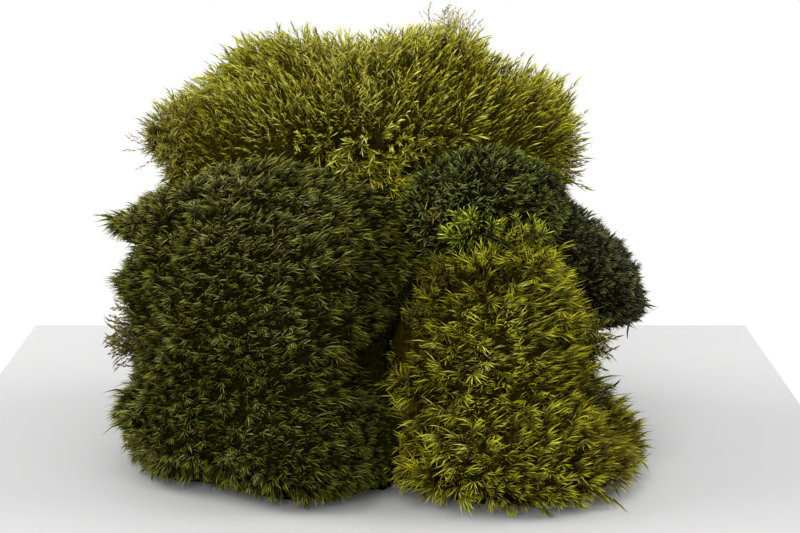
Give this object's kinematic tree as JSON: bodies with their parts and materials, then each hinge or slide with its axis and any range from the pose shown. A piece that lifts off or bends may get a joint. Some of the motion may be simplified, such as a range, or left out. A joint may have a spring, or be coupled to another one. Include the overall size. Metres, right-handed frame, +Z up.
{
  "type": "moss clump",
  "caption": "Heap of shaggy moss cushions in bright, dark and blue-green tones, pressed together and cut off flat underneath so that it stands on a table or on the ground",
  "frame": {"origin": "under the middle of the clump's box, on the flat underside that it rests on", "axes": "+X runs across the front to the viewer's right, the front faces -Y, +Z is up"},
  "size_m": [0.34, 0.3142, 0.2599],
  "materials": {
    "upper_moss": "shaggy, yellow-green slender shoots over a brown mat",
    "middle_moss": "shaggy, blue-green short shoots over a dark brown mat",
    "front_moss": "shaggy, bright green plumes with pale tips over a brown mat",
    "right_moss": "shaggy, grey-green tight shoots over a blackish mat",
    "left_moss": "shaggy, dark green swept shoots with a greyish sheen over a brown mat"
  },
  "bodies": {
    "root": {"upper_moss": "upper_moss", "middle_moss": "middle_moss", "front_moss": "front_moss", "right_moss": "right_moss", "left_moss": "left_moss"}
  },
  "joints": []
}
